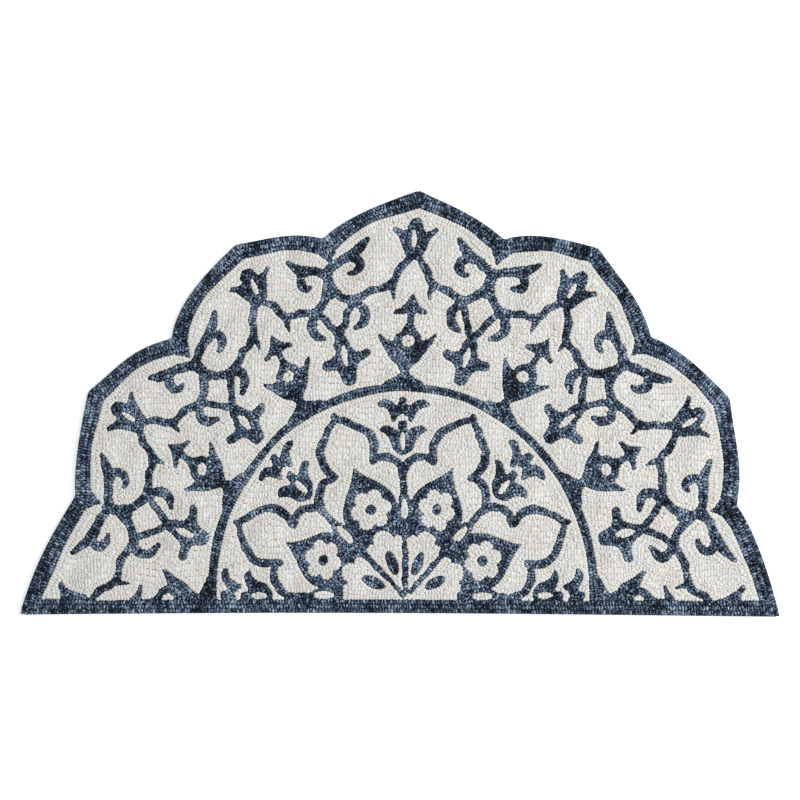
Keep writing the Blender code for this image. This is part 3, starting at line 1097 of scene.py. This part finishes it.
INDIGO = [(0.0, "#010206"), (0.20, "#080d16"), (0.40, "#27364b"), (0.58, "#556a85"), (0.76, "#899eb6"), (1.0, "#c0d0de")]
CREAM = [(0.0, "#b3aba2"), (0.18, "#c8c4be"), (0.38, "#d2d0cc"), (0.62, "#d9d8d6"), (1.0, "#e6e6e4")]
COOL_TINTS = [(0.0, "#eceaf6"), (0.5, "#ffffff"), (1.0, "#e4f4f4")]
WARM_TINTS = [(0.0, "#fdf8f1"), (0.35, "#fdfcf9"), (0.7, "#fdffff"), (1.0, "#f5fafd")]
wool_indigo = wool("wool_indigo", INDIGO, 0.15, 2.15, None, COOL_TINTS, 0.05, colour("#9db2cc"), (0.02, 0.66))
wool_cream = wool("wool_cream", CREAM, 0.07, 1.7, (0.66, 0.74, "#a99a84"), WARM_TINTS, 0.08, colour("#ffffff"), (0.90, 0.95))


def foundation_finish():
    """The cloth between the loops, coloured as painted shade: the yarn's feet in shadow, dark navy or greyed cream as
    the loops above it.
    """
    f = Finish("loop_roots_painted_shade")
    spot = f.node("ShaderNodeTexCoord").outputs["Object"]
    grain = f.noise(spot, 900.0, 3.0, 0.6)
    # painted shade: both ramps are much darker than the yarn, as the pile's feet look in its own shadow
    dark = f.ramp(grain, [(0.3, "#05070c"), (0.7, "#141c2a")])
    pale = f.ramp(grain, [(0.3, "#948a7d"), (0.7, "#bdb4a7")])
    base = f.mix(f.node("ShaderNodeMapRange", {"Value": f.read("navy"), "From Min": 0.35, "From Max": 0.65}).outputs[0], pale, dark)
    rough = f.math("MULTIPLY_ADD", grain, 0.1, 0.88, clamp=True)
    return f.finish(base, rough, [(grain, 0.6, 0.0006)], 0.1, colour("#ffffff"))


def backing_finish():
    """The underside: plain-woven cotton cloth over the latex, a little soiled."""
    f = Finish("backing_cloth")
    spot = f.node("ShaderNodeTexCoord").outputs["Object"]
    parts = f.node("ShaderNodeSeparateXYZ", {0: spot}).outputs
    warp = f.math("SINE", f.math("MULTIPLY", parts[0], 2 * pi / 0.0016))
    weft = f.math("SINE", f.math("MULTIPLY", parts[1], 2 * pi / 0.0016))
    weave = f.math("MULTIPLY_ADD", f.math("MULTIPLY", warp, weft), 0.5, 0.5)
    slub = f.noise(spot, 420.0, 3.0, 0.6)
    soil = f.noise(spot, 7.0, 3.0, 0.6)
    base = f.ramp(f.math("MULTIPLY_ADD", weave, 0.4, f.math("MULTIPLY", slub, 0.6)),
                  [(0.2, "#9c8f7a"), (0.55, "#c4b8a2"), (0.9, "#ddd3c0")])
    base = f.mix(f.math("MULTIPLY", soil, 0.35), base, colour("#a3967f"))
    rough = f.math("MULTIPLY_ADD", slub, 0.15, 0.8, clamp=True)
    return f.finish(base, rough, [(weave, 0.7, 0.0005), (slub, 0.4, 0.0003)], 0.1, colour("#ffffff"))


# ---------------------------------------------------------------- the cloth under the loops
def cloth():
    """Foundation cloth with a folded, rounded hem: one closed sheet."""
    rim = even(RIM, 4.0)
    profile = [(3.4, 0.0), (2.2, 0.15), (1.5, 0.8), (1.35, 1.7), (1.6, 2.6), (2.3, 3.2), (3.4, CLOTH_TOP)]
    n = len(rim)
    verts, faces, slots = [], [], []
    for by, z in profile:
        verts.append(np.column_stack([inset(rim, by), np.full(n, z)]))
    for level in range(len(profile) - 1):
        for i in range(n):
            a, b = level * n + i, level * n + (i + 1) % n
            faces.append((a, a + n, b + n, b))      # the edge runs clockwise
            slots.append(0 if level > 0 else 1)
    count = n * len(profile)
    for ring, step, z, slot in ((0, 20.0, 0.0, 1), (len(profile) - 1, 5.0, CLOTH_TOP, 0)):
        gx, gy = np.meshgrid(np.arange(X0 + 2, -X0, step), np.arange(Y0 + 2, -Y0, step))
        gx = gx + (np.arange(gy.shape[0]) % 2 * step / 2)[:, None]
        p = np.stack([gx.ravel(), gy.ravel()], -1)
        p = p[sample(edge, p) < -(3.4 + step * 0.55)]
        loop = verts[ring][:, :2]
        both_ = np.concatenate([loop, p])
        made = delaunay_2d_cdt([Vector(q) for q in both_], [], [list(range(n))[::-1]], 1, 1e-4)
        where = np.array([o[0] if o else -1 for o in made[3]])
        assert (where >= 0).all() and len(made[0]) == len(both_)
        index = np.where(where < n, ring * n + where, count + where - n)
        for face in made[2]:
            tri = [int(index[k]) for k in face]
            (ax, ay), (bx, by), (cx, cy) = (both_[where[k]] for k in face[:3])
            up = (bx - ax) * (cy - ay) - (by - ay) * (cx - ax) > 0
            if up != (slot == 0):
                tri = tri[::-1]
            faces.append(tuple(tri))
            slots.append(slot)
        verts.append(np.column_stack([p, np.full(len(p), z)]))
        count += len(p)
    verts = np.concatenate(verts)
    mesh = bpy.data.meshes.new("rug_foundation")
    mesh.from_pydata((verts * MM).tolist(), [], faces)
    mesh.polygons.foreach_set("material_index", slots)
    mesh.shade_smooth()
    shade = np.clip(0.5 - sample(side, verts[:, :2]) / 3.0, 0, 1)
    mesh.attributes.new("navy", "FLOAT", "POINT").data.foreach_set("value", shade.astype(np.float32))
    mesh.materials.append(foundation_finish())
    mesh.materials.append(backing_finish())
    mesh.update()
    piece = bpy.data.objects.new("rug_foundation", mesh)
    bpy.context.scene.collection.objects.link(piece)
    return piece


# ---------------------------------------------------------------- build
kind, x, y = loops[:, 7], loops[:, 0], loops[:, 1]
in_ring = ((x / U - 3) / 192)**2 + ((y / U + 193) / 210)**2 < 1.0
is_border = kind <= BORDER
groups = [
    ("pile_border", is_border, wool_indigo),
    ("pile_motifs", (kind == NAVY) & ~in_ring, wool_indigo),
    ("pile_medallion_motifs", (kind == NAVY) & in_ring, wool_indigo),
    ("pile_ground_upper", (kind == IVORY) & ~in_ring & (y >= 20), wool_cream),
    ("pile_ground_lower", (kind == IVORY) & ~in_ring & (y < 20), wool_cream),
    ("pile_medallion_ground", (kind == IVORY) & in_ring, wool_cream),
]
foundation = cloth()
piles = []
for name, which, material in groups:
    piece = pile(name, loops[which], material)
    piles.append(piece)
    print(name, int(which.sum()), "loops", len(piece.data.polygons), "triangles")
print("triangles in all", sum(len(p.data.polygons) for p in piles) + len(foundation.data.polygons))

for piece in [foundation] + piles:
    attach(piece, "root")
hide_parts("rug")

# ---------------------------------------------------------------- floor and light
bpy.ops.mesh.primitive_grid_add(x_subdivisions=8, y_subdivisions=8, size=16, location=(0, 0, 0))
floor = bpy.context.object
floor.name = "floor"
f = Finish("pale_floor")
spot = f.node("ShaderNodeTexCoord").outputs["Object"]
cloud = f.noise(spot, 0.9, 2.0, 0.5)
floor.data.materials.append(f.finish(f.ramp(cloud, [(0.3, "#f6f6f6"), (0.7, "#f9f9f9")]),
                                     f.math("MULTIPLY_ADD", cloud, 0.05, 0.9), [(cloud, 0.05, 0.001)], 0.0, (1, 1, 1, 1)))
floor_shader = f.shader.inputs
floor_shader["Emission Color"].default_value = (1, 1, 1, 1)
floor_shader["Emission Strength"].default_value = 0.45      # a light table, so that shadows stay faint

world = bpy.data.worlds.new("studio")
bpy.context.scene.world = world
world.use_nodes = True
world.node_tree.nodes["Background"].inputs["Color"].default_value = (0.97, 0.985, 1.0, 1.0)
world.node_tree.nodes["Background"].inputs["Strength"].default_value = 0.57


def lamp(name, place_at, size, watts, tint):
    data = bpy.data.lights.new(name, "AREA")
    data.shape = "SQUARE"
    data.size = size
    data.energy = watts
    data.color = tint
    made = bpy.data.objects.new(name, data)
    bpy.context.scene.collection.objects.link(made)
    made.location = place_at
    made.rotation_euler = (Vector((0, 0, 0)) - Vector(place_at)).to_track_quat("-Z", "Y").to_euler()


lamp("key", (6.2, 1.4, 5.2), 2.6, 730.0, (1.0, 1.0, 1.0))
bpy.context.scene.view_settings.view_transform = "Standard"
